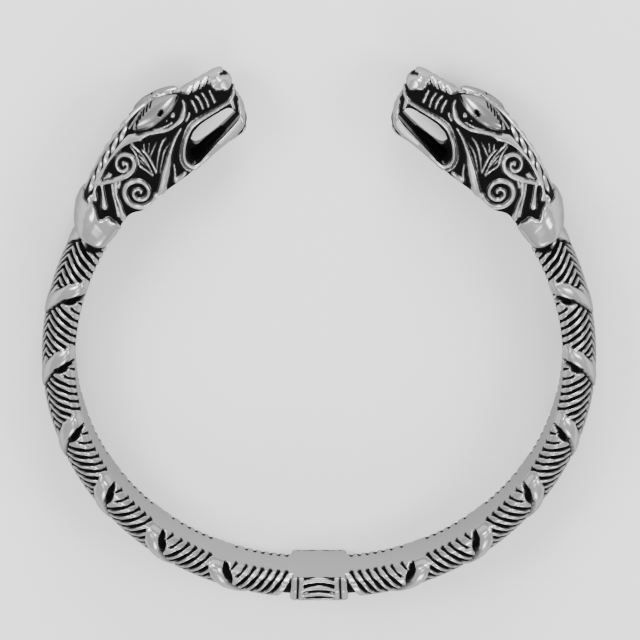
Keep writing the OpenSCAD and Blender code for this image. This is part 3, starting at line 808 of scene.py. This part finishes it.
def build_block(settings):
    """The rectangular block at the back, rounded, with arched slots."""
    step = in_mm(settings.grid)
    s, r, z = np.meshgrid(*grid_lines(BLOCK_LOW, BLOCK_HIGH, step), indexing="ij")
    outline = [(-across, out) for across, out in BLOCK_SECTION] + BLOCK_SECTION[-2::-1]
    section = outline_distance(outline, z[0], r[0])
    body = shared(section[None, :, :], np.abs(s) - BLOCK_HALF_LENGTH, BLOCK_ROUND)
    across = r + np.maximum(0.0, SHOULDER - np.abs(z)) * smooth(r, *SHOULDER_TURNS)
    marked = (np.abs(z) > MARKS_ACROSS) | (r > MARKS_OUT)
    line = np.abs(np.abs(s) - (BLOCK_HALF_LENGTH - BLOCK_LINE_INSET)) - BLOCK_LINE_HALF_WIDTH
    line = np.where(marked, line, FAR)
    arched = np.clip(1 - (s / ARC_REACH) ** 2, 0.0, 1.0)
    slots = np.full(s.shape, FAR)
    for end, rise in BLOCK_ARCS:
        arc = np.abs(across - end + rise * arched) - (ARC_HALF_WIDTH - ARC_NARROWING * arched)
        slots = np.minimum(slots, np.maximum(arc, np.abs(s) - ARC_REACH))
    slots = np.where(marked, slots, FAR)
    depth = in_mm(settings.slot_depth) * smooth(-slots, *ARC_BANK)
    depth = (depth + BLOCK_LINE_DEPTH * smooth(-line, *THIN_EDGE)) * smooth(r, *MARKS_DEEPEN)
    grid_points, quads = solid_surface(body + depth)
    ink = np.clip(np.minimum(slots, line), -BLOCK_INK_LIMIT, BLOCK_INK_LIMIT)
    black = smooth(sample3(ink, grid_points), *BLOCK_INK_EDGE)
    points = BLOCK_LOW + step * grid_points
    satin = 1 - smooth(points[:, 1], *BLOCK_SATIN_ENDS)
    return mesh_object("band_block", on_ring(*points.T), quads, black, satin)


def side_drawing():
    """The raised lines of the head's side."""
    sheet = Drawing(*SIDE_SHEET)
    sheet.area(COLLAR)
    for points in STROKES.values():
        sheet.line(points)
    turned = np.arange(BIG_SPIRAL[0][0], BIG_SPIRAL[-1][0] + 1, BIG_SPIRAL_STEP)
    radius = column(BIG_SPIRAL, turned, 1)
    u = BIG_SPIRAL_CENTRE[0] + radius * np.cos(np.radians(turned))
    v = BIG_SPIRAL_CENTRE[1] - radius * np.sin(np.radians(turned))
    sheet.line(np.stack([u, v, column(BIG_SPIRAL, turned, 2)], axis=1), curved=False)
    for points in CUTS.values():
        sheet.line(points, cut=True)
    sheet.area(FRONT_WEB, cut=True)
    sheet.line(LOWER_FANG)
    return sheet


def top_drawing():
    """The raised lines of the head's top."""
    sheet = Drawing(*TOP_SHEET)
    sheet.area(TOP_COLLAR)
    sheet.line(TOP_BAND)
    for points in TOP_LINES.values():
        sheet.line(points, curved=False)
    for k in range(MANE_ROWS):
        for points in MANE_LOBES:
            sheet.line(moved(points, MANE_START + MANE_PITCH * k))
    for u in SNOUT_CUTS:
        sheet.line(moved(SNOUT_CUT, u), cut=True)
    return sheet


def head_drawing(u, v, w, up):
    """Signed distance to the raised lines, from the side's drawing, the top's and the plain foot."""
    side = side_drawing().at(u[:, :, :1], v[:, :, :1])
    top = top_drawing().at(u, w)
    foot = np.maximum(w - FOOT_STRIP_HALF_WIDTH, np.abs(u - FOOT_STRIP_MIDDLE) - FOOT_STRIP_HALF_LENGTH)
    top_share = smooth(up, *TURNS_UP)
    foot_share = smooth(-up, *TURNS_DOWN)
    sheet = side * (1 - top_share) + top * top_share
    return sheet * (1 - foot_share) + foot * foot_share


def brow_distance(u, v, w):
    """Rough signed distance to the brow, and each place's share of its half length and place across it."""
    start, end, outwards = np.array(BROW_FROM), np.array(BROW_TO), np.array(BROW_FACES)
    half_length = np.linalg.norm(end - start) / 2
    along = (end - start) / (2 * half_length)
    outwards = outwards - along * (outwards @ along)
    outwards = outwards / np.linalg.norm(outwards)
    middle = (start + end) / 2
    place = (u - middle[0], v - middle[1], w - middle[2])
    axes = (along, np.cross(outwards, along), outwards)
    t, c, h = (sum(p * e for p, e in zip(place, axis)) for axis in axes)
    t = t / half_length
    taper = np.clip(1 - np.abs(t) ** BROW_BLUNTNESS, 0.0, 1.0)
    wide = np.where(c > 0, BROW_UPPER_HALF_WIDTH, BROW_LOWER_HALF_WIDTH) * taper + BROW_LEAST
    thick = BROW_THICKNESS * np.sqrt(taper) + BROW_LEAST
    level = np.hypot(c / wide, h / thick)
    distance = (level - 1) * np.minimum(wide, thick) + np.maximum(np.abs(t) - 1, 0) * half_length
    return distance, t, c


def brow_cut(t, c, row):
    """Signed distance to one cut drawn on the brow."""
    start_t, start_c, end_t, end_c, half = row
    start, end = (start_t * BROW_HALF_LENGTH, start_c), (end_t * BROW_HALF_LENGTH, end_c)
    return line_distance((t * BROW_HALF_LENGTH, c), start, end)[0] - half


def collar_level(u, v):
    """How far out a place is in the collar's height: 0 on its middle line, 1 on its outline."""
    crest = np.array(SILHOUETTE[:COLLAR_CREST])
    foot = np.array(SILHOUETTE[-COLLAR_FOOT:][::-1])
    high = np.interp(u, crest[:, 0], crest[:, 1])
    low = np.interp(u, foot[:, 0], foot[:, 1])
    x = (2 * v - high - low) / (high - low)
    return np.minimum(np.abs(x) ** np.where(x > 0, CREST_SQUARENESS, FOOT_SQUARENESS), COLLAR_LIMIT)


def head_body(u, v, w, step):
    """Signed distance to the head without its relief, how far its skin faces up, and its half width."""
    u2, v2 = u[:, :, :1], v[:, :, :1]
    collar_wide = column(HALF_WIDTH, u2, 1)
    jaw_wide = np.minimum(collar_wide, column(JAW_WIDTH, u2, 1))
    wide = jaw_wide + (collar_wide - jaw_wide) * smooth(v2, *JAW_TO_CHEEK)
    bulge = np.clip((v2 - BARREL_MIDDLE) / BARREL_REACH, -1.0, 1.0) ** 2
    wide = wide * (1 - column(BARREL, u2, 1) * bulge)
    rounding = FOOT_ROUND + (column(TOP_ROUND, u2, 1) - FOOT_ROUND) * smooth(v2, *FOOT_TO_TOP)
    depth = -outline_distance(closed_curve(SILHOUETTE), u2, v2)
    edge = (1 - np.minimum(depth / rounding, 1.0)) ** 2
    level = (w / wide) ** 2 + edge - 1
    swell = (w / collar_wide) ** 2 + collar_level(u2, v2) - 1
    level = swell + (level - swell) * smooth(u2, *COLLAR_TO_HEAD)
    slope_u, slope_v, slope_w = np.gradient(level, step)
    slope = np.sqrt(slope_u ** 2 + slope_v ** 2 + slope_w ** 2) + TINY
    body = np.clip(level / np.maximum(slope, LEAST_SLOPE), -DEPTH_LIMIT, DEPTH_LIMIT)
    return body, slope_v / slope, wide


def head_solid(settings):
    """Points of the head in its own frame, its quads and its blackness."""
    step = in_mm(settings.grid)
    u, v, w = np.meshgrid(*grid_lines(HEAD_LOW, HEAD_HIGH, step), indexing="ij")
    body, up, wide = head_body(u, v, w, step)
    w = np.abs(w)
    brow, brow_t, brow_c = brow_distance(u, v, w)
    sheet = np.maximum(head_drawing(u, v, w, up), BROW_GAP - brow)
    relief = RELIEF * np.sin(math.pi / 2 * np.clip(-sheet / STROKE_BANK, 0.0, 1.0))
    brow_and_ridge = np.minimum(brow, thick_line(BROW_RIDGE, u, v, w))
    field = np.minimum(body + RELIEF - relief, brow_and_ridge)

    near_brow = np.abs(brow) - BROW_CUT_DEPTH
    slot = np.maximum(brow_cut(brow_t, brow_c, BROW_SLOT), near_brow)
    hatch = np.full(u.shape, FAR)
    for row in BROW_HATCH:
        hatch = np.minimum(hatch, np.maximum(brow_cut(brow_t, brow_c, row), near_brow))
    mouth = outline_distance(closed_curve(MOUTH), u[:, :, :1], v[:, :, :1])
    tongue = thick_line(TONGUE, u, v, w * TONGUE_FLATNESS)
    before_rim = -(u * math.cos(HEAD_TURN) + v * math.sin(HEAD_TURN))
    for cut in (slot, hatch, mouth):
        field = np.maximum(field, -cut)
    field = shared(np.minimum(field, tongue), before_rim, RIM_ROUND)

    ink = np.minimum(sheet, brow_and_ridge - BRIGHT_PAST_BROW)
    ink = np.maximum(ink, INK_PAST_SLOT - slot)
    ink = np.maximum(ink, INK_PAST_HATCH - hatch)
    ink = np.maximum(ink, np.minimum(INK_PAST_MOUTH - mouth, wide - BRIGHT_LIP - w))
    ink = np.maximum(ink, INK_PAST_TONGUE - tongue)
    ink = np.minimum(ink, -BRIGHT_RIM - before_rim)
    grid_points, quads = solid_surface(field)
    ink = np.clip(ink, -HEAD_INK_LIMIT, HEAD_INK_LIMIT)
    black = smooth(sample3(ink, grid_points), *HEAD_INK_EDGE)
    return HEAD_LOW + step * grid_points, quads, black


def build_heads(settings):
    """Both heads from one solid; the left one is its mirror image."""
    points, quads, black = head_solid(settings)
    u, v, w = points.T
    rim = on_ring(np.array([ARM_LENGTH]), 0.0, np.zeros(1))[0]
    bearing = math.pi / 2 + (ARM_LENGTH - LOWER_END) / UPPER_RADIUS + HEAD_TURN
    x = rim[0] + u * math.cos(bearing) + v * math.sin(bearing)
    y = rim[1] + u * math.sin(bearing) - v * math.cos(bearing)
    made = []
    for name, side in (("head_left_casting", -1.0), ("head_right_casting", 1.0)):
        row = np.stack([side * x, y, w + MID_HEIGHT], axis=1)
        made.append(mesh_object(name, row, quads, black))
    return made


class Value:
    """A socket of a material's nodes, with sums written as sums."""

    def __init__(self, finish, socket):
        self.finish = finish
        self.socket = socket

    def math(self, kind, other, swapped=False):
        """A Math node on this value and another, in this order or swapped."""
        values = [other, self] if swapped else [self, other]
        return self.finish.node("ShaderNodeMath", {"operation": kind}, values)

    def __add__(self, other):
        return self.math("ADD", other)

    def __sub__(self, other):
        return self.math("SUBTRACT", other)

    def __mul__(self, other):
        return self.math("MULTIPLY", other)

    def __radd__(self, other):
        return self.math("ADD", other, swapped=True)

    def __rsub__(self, other):
        return self.math("SUBTRACT", other, swapped=True)

    def __rmul__(self, other):
        return self.math("MULTIPLY", other, swapped=True)


class Finish:
    """A material whose nodes are made from here."""

    def __init__(self, name):
        self.material = bpy.data.materials.new(name)
        self.material.use_nodes = True
        self.tree = self.material.node_tree
        self.tree.nodes.clear()

    def node(self, kind, settings=None, inputs=None, output=0):
        """One node: its settings first, then its sockets, by place or by name."""
        made = self.tree.nodes.new(kind)
        for key, value in (settings or {}).items():
            setattr(made, key, value)
        pairs = inputs.items() if isinstance(inputs, dict) else enumerate(inputs or [])
        for key, value in pairs:
            if isinstance(value, Value):
                self.tree.links.new(value.socket, made.inputs[key])
            else:
                made.inputs[key].default_value = value
        return Value(self, made.outputs[output]) if len(made.outputs) else made

    def attribute(self, name):
        """What a piece's mesh stores under this name."""
        return self.node("ShaderNodeAttribute", {"attribute_name": name}, output="Fac")

    def noise(self, place, scale, detail):
        """Soft noise from 0 to 1."""
        return self.node("ShaderNodeTexNoise", {}, {"Vector": place, "Scale": scale, "Detail": detail})

    def blend(self, share, first, second):
        """A number between two, by a share."""
        return self.node("ShaderNodeMix", {"data_type": "FLOAT"}, {0: share, 2: first, 3: second})

    def blend_colour(self, share, first, second):
        """A colour between two, by a share."""
        return self.node("ShaderNodeMix", {"data_type": "RGBA"}, {0: share, 6: first, 7: second}, output=2)

    def done(self, surface):
        """The material, with its surface joined to the output."""
        self.node("ShaderNodeOutputMaterial", {}, {"Surface": surface})
        return self.material


def cast_metal(settings):
    """Polished cast metal, satin on the inner face, blackened in its recesses, and blackened before each
    collar as painted shadow.
    """
    finish = Finish("cast metal")
    place = finish.node("ShaderNodeTexCoord", output="Object")
    satin = finish.attribute("satin")
    cloud = finish.noise(place, CLOUD_SCALE, CLOUD_DETAIL)
    grain = finish.noise(place, GRAIN_SCALE, GRAIN_DETAIL)
    polish = settings.polish + (cloud - 0.5) * CLOUDED_POLISH
    rough = finish.blend(satin, polish, settings.satin)
    clouded = [channel * CLOUDED_COLOUR for channel in settings.metal]
    metal = finish.blend_colour(cloud, (*settings.metal, 1.0), (*clouded, 1.0))
    metal = finish.blend_colour(satin, metal, (*settings.inner, 1.0))
    bump = finish.node("ShaderNodeBump", {}, {
        "Strength": GRAIN_STRENGTH, "Distance": GRAIN_HEIGHT, "Height": grain})
    bare = finish.node("ShaderNodeBsdfPrincipled", {}, {
        "Base Color": metal, "Roughness": rough, "Metallic": 1.0,
        "Specular Tint": (EDGE_TINT, EDGE_TINT, EDGE_TINT, 1.0), "Normal": bump})
    # Black of the oxidised recesses, also used as painted shadow in the strip before each collar
    oxide_and_shadow = finish.node("ShaderNodeBsdfPrincipled", {}, {
        "Base Color": (*settings.recess, 1.0), "Roughness": OXIDE_AND_SHADOW_ROUGHNESS,
        "Specular IOR Level": OXIDE_AND_SHADOW_SPECULAR})
    patina_and_shadow = finish.attribute("patina_and_shadow")
    return finish.done(finish.node("ShaderNodeMixShader", {}, {0: patina_and_shadow, 1: bare, 2: oxide_and_shadow}))


def floor_finish(stage):
    """Plain pale floor."""
    finish = Finish("pale floor")
    return finish.done(finish.node("ShaderNodeBsdfPrincipled", {}, {
        "Base Color": (*stage.floor, 1.0), "Roughness": FLOOR_ROUGHNESS,
        "Specular IOR Level": FLOOR_SPECULAR}))


class ArmRingShape(bpy.types.PropertyGroup):
    """How finely the ring is built, and its raised work."""
    step: FloatProperty(
        name="Step along the band", description="Distance between rings of points", unit="LENGTH",
        default=0.11 * MM, min=0.05 * MM, max=1.0 * MM, precision=6)
    section_points: IntProperty(
        name="Points per part", description="Points in each part of the band's section",
        default=13, min=4, max=30)
    flat_points: IntProperty(
        name="Points on the inner face", description="Points across half the inner face",
        default=10, min=2, max=30)
    grid: FloatProperty(
        name="Step of the castings", description="Grid step of the heads and the block", unit="LENGTH",
        default=0.136 * MM, min=0.08 * MM, max=0.5 * MM, precision=6)
    strap_height: FloatProperty(
        name="Strap height", description="Height of the straps above the ribs", unit="LENGTH",
        default=0.34 * MM, min=0.0, max=0.6 * MM, precision=6)
    hollow_depth: FloatProperty(
        name="Hollow depth", description="Depth of the dark hollows", unit="LENGTH",
        default=0.7 * MM, min=0.1 * MM, max=1.0 * MM, precision=6)
    slot_depth: FloatProperty(
        name="Slot depth", description="Depth of the block's slots", unit="LENGTH",
        default=0.32 * MM, min=0.1 * MM, max=1.0 * MM, precision=6)


class ArmRingFinish(bpy.types.PropertyGroup):
    """Colours and polish."""
    metal: FloatVectorProperty(
        name="Metal", description="Colour of the bare metal", subtype="COLOR",
        default=(0.38, 0.38, 0.38), min=0.0, max=1.0)
    inner: FloatVectorProperty(
        name="Inner face", description="Colour of the satin inner face", subtype="COLOR",
        default=(0.36, 0.36, 0.36), min=0.0, max=1.0)
    # This colour also paints the strip before each collar, as painted shadow
    recess: FloatVectorProperty(
        name="Recess", description="Colour of the blackened recesses", subtype="COLOR",
        default=(0.0025, 0.0025, 0.0025), min=0.0, max=1.0)
    polish: FloatProperty(
        name="Polish", description="Roughness of the polished metal", subtype="FACTOR",
        default=0.25, min=0.0, max=1.0)
    satin: FloatProperty(
        name="Satin", description="Roughness of the inner face", subtype="FACTOR",
        default=0.42, min=0.0, max=1.0)


class ArmRingStage(bpy.types.PropertyGroup):
    """Camera, floor and light."""
    tilt: FloatProperty(
        name="View tilt", description="Angle of the view from straight above", subtype="ANGLE",
        default=math.radians(24.0))
    distance: FloatProperty(
        name="Distance", description="Camera's distance from what it looks at", unit="LENGTH",
        default=2.5)
    field: FloatProperty(
        name="Width of view", description="Width seen at that distance", unit="LENGTH",
        default=0.0844)
    floor: FloatVectorProperty(
        name="Floor", description="Colour of the floor", subtype="COLOR",
        default=(0.86, 0.86, 0.86), min=0.0, max=1.0)
    world: FloatProperty(
        name="Room light", description="Strength of the even light", default=1.2, min=0.0)
    lamps: FloatProperty(
        name="Soft lights", description="Power that each soft light takes its share of", unit="POWER",
        default=3.2, min=0.0)


def group(name):
    """The scene's settings of that name."""
    return getattr(bpy.context.scene, name)


def settle(piece, *nodes):
    """The piece's finish, and its place in the frame."""
    finish = bpy.data.materials.get("cast metal") or cast_metal(group("arm_ring_finish"))
    piece.data.materials.append(finish)
    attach(piece, "root")
    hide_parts(*nodes)


def lay_floor(scene, stage):
    """The pale floor under the ring."""
    mesh = bpy.data.meshes.new("floor")
    corners = [(x * FLOOR_HALF, y * FLOOR_HALF, 0) for x, y in ((-1, -1), (1, -1), (1, 1), (-1, 1))]
    mesh.from_pydata(corners, [], [(0, 1, 2, 3)])
    mesh.materials.append(floor_finish(stage))
    floor = bpy.data.objects.new("floor", mesh)
    scene.collection.objects.link(floor)


def set_camera(scene, stage):
    """The camera, tilted from straight above towards the open side of the ring."""
    back = Vector((0, math.sin(stage.tilt), math.cos(stage.tilt)))
    up = Vector((0, math.cos(stage.tilt), -math.sin(stage.tilt)))
    turn = Matrix((up.cross(back), up, back)).transposed().to_4x4()
    lens = bpy.data.cameras.new("camera")
    lens.lens = lens.sensor_width * stage.distance / stage.field
    lens.clip_end = VIEW_END
    camera = bpy.data.objects.new("camera", lens)
    camera.matrix_world = Matrix.Translation(AIM + back * stage.distance) @ turn
    scene.collection.objects.link(camera)
    scene.camera = camera


def set_lights(scene, stage):
    """Even light from the room, and soft lights that face the ring."""
    room = bpy.data.worlds.new("room")
    room.use_nodes = True
    background = room.node_tree.nodes["Background"]
    background.inputs["Color"].default_value = (1.0, 1.0, 1.0, 1.0)
    background.inputs["Strength"].default_value = stage.world
    scene.world = room
    for name, place, width, share in LAMPS:
        light = bpy.data.lights.new(name, "AREA")
        light.size = width
        light.energy = stage.lamps * share
        lamp = bpy.data.objects.new(name, light)
        lamp.location = place
        lamp.rotation_euler = (AIM - Vector(place)).to_track_quat("-Z", "Y").to_euler()
        scene.collection.objects.link(lamp)


class ARMRING_OT_band(bpy.types.Operator):
    """Build the ribbed arms with their straps and dark hollows"""
    bl_idname = "armring.band"
    bl_label = "Ribbed arms"

    def execute(self, context):
        for name, side in (("band_left_arm", -1.0), ("band_right_arm", 1.0)):
            settle(build_arm(name, side, group("arm_ring_shape")), "band")
        return {"FINISHED"}


class ARMRING_OT_block(bpy.types.Operator):
    """Build the block at the back with its arched slots"""
    bl_idname = "armring.block"
    bl_label = "Back block"

    def execute(self, context):
        settle(build_block(group("arm_ring_shape")), "band")
        return {"FINISHED"}


class ARMRING_OT_heads(bpy.types.Operator):
    """Build the two facing beast heads with their collars"""
    bl_idname = "armring.heads"
    bl_label = "Beast heads"

    def execute(self, context):
        left, right = build_heads(group("arm_ring_shape"))
        settle(left, "head_left")
        settle(right, "head_right")
        return {"FINISHED"}


class ARMRING_OT_stage(bpy.types.Operator):
    """Put down the pale floor, the soft lights and the camera"""
    bl_idname = "armring.stage"
    bl_label = "Floor, light and camera"

    def execute(self, context):
        stage = group("arm_ring_stage")
        lay_floor(context.scene, stage)
        set_camera(context.scene, stage)
        set_lights(context.scene, stage)
        return {"FINISHED"}


class ARMRING_PT_panel(bpy.types.Panel):
    """Buttons that build the arm ring, and its settings"""
    bl_label = "Viking arm ring"
    bl_idname = "ARMRING_PT_panel"
    bl_space_type = "VIEW_3D"
    bl_region_type = "UI"
    bl_category = "Arm ring"

    def draw(self, context):
        for operator in OPERATORS:
            self.layout.operator(operator.bl_idname)
        for name in GROUPS:
            settings = group(name)
            box = self.layout.box()
            for key in settings.bl_rna.properties.keys():
                if key not in ("rna_type", "name"):
                    box.prop(settings, key)


OPERATORS = (ARMRING_OT_band, ARMRING_OT_block, ARMRING_OT_heads, ARMRING_OT_stage)
GROUPS = {"arm_ring_shape": ArmRingShape, "arm_ring_finish": ArmRingFinish, "arm_ring_stage": ArmRingStage}


def register():
    """Register the settings, the operators and the panel."""
    for made in (*GROUPS.values(), *OPERATORS, ARMRING_PT_panel):
        bpy.utils.register_class(made)
    for name, kind in GROUPS.items():
        setattr(bpy.types.Scene, name, PointerProperty(type=kind))


def unregister():
    """Take away what register put in place."""
    for name in GROUPS:
        delattr(bpy.types.Scene, name)
    for made in (ARMRING_PT_panel, *reversed(OPERATORS), *reversed(list(GROUPS.values()))):
        bpy.utils.unregister_class(made)


def main():
    """Build the ring and its stage."""
    register()
    bpy.ops.armring.band()
    bpy.ops.armring.block()
    bpy.ops.armring.heads()
    bpy.ops.armring.stage()


if __name__ == "__main__":
    main()
